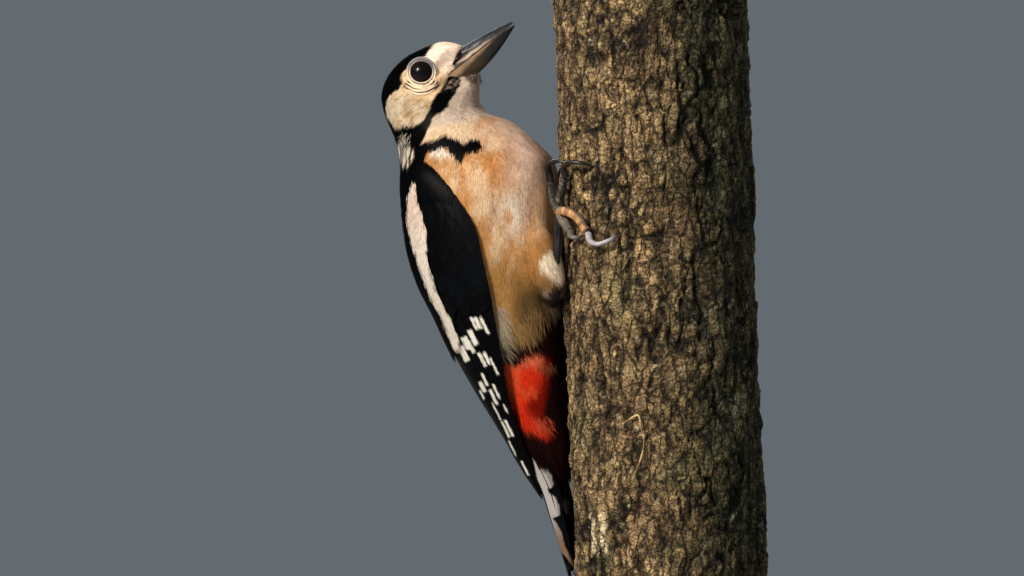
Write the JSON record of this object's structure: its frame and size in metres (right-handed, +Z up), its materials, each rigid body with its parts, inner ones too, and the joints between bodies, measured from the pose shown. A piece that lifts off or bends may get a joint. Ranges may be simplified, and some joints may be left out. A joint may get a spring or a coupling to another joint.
{
  "type": "great spotted woodpecker on a trunk section",
  "caption": "Life-size great spotted woodpecker clinging head-up to a cut length of bark-covered trunk, on a plain rectangular display base with a short rod.",
  "frame": {"origin": "middle of the base's underside, on the floor", "axes": "+Z up along the trunk, the bird on the -X side of the trunk with its right side towards -Y"},
  "size_m": [0.186, 0.12, 0.278],
  "materials": {
    "black_plumage": "glossy black feathers",
    "buff_plumage": "soft buff feathers",
    "white_plumage": "soft white feathers",
    "red_plumage": "soft red feathers",
    "bill_horn": "satin grey horn",
    "claw_horn": "polished dark horn",
    "leg_scales": "matt scaled skin",
    "eye": "wet gloss",
    "bark": "rough cracked bark",
    "base_wood": "satin dark wood",
    "rod_steel": "brushed"
  },
  "bodies": {
    "root": {"head": "black_plumage", "neck": "white_plumage", "trunk": "buff_plumage", "undertail_coverts": "red_plumage", "tail_middle": "black_plumage", "tail_side_right": "black_plumage", "tail_side_left": "black_plumage", "wing_right": "black_plumage", "wing_left": "black_plumage", "flight_feathers_right": "black_plumage", "flight_feathers_left": "black_plumage", "bill_upper": "bill_horn", "bill_lower": "bill_horn", "eye_right": "eye", "eye_left": "eye", "thigh_right": "white_plumage", "thigh_left": "white_plumage", "foot_right": "leg_scales", "foot_left": "leg_scales", "claw_right_1": "claw_horn", "claw_right_2": "claw_horn", "claw_right_3": "claw_horn", "claw_right_4": "claw_horn", "claw_left_1": "claw_horn", "claw_left_2": "claw_horn", "claw_left_3": "claw_horn", "claw_left_4": "claw_horn", "perch_log": "bark", "stand_base": "base_wood", "stand_rod": "rod_steel"}
  },
  "joints": []
}
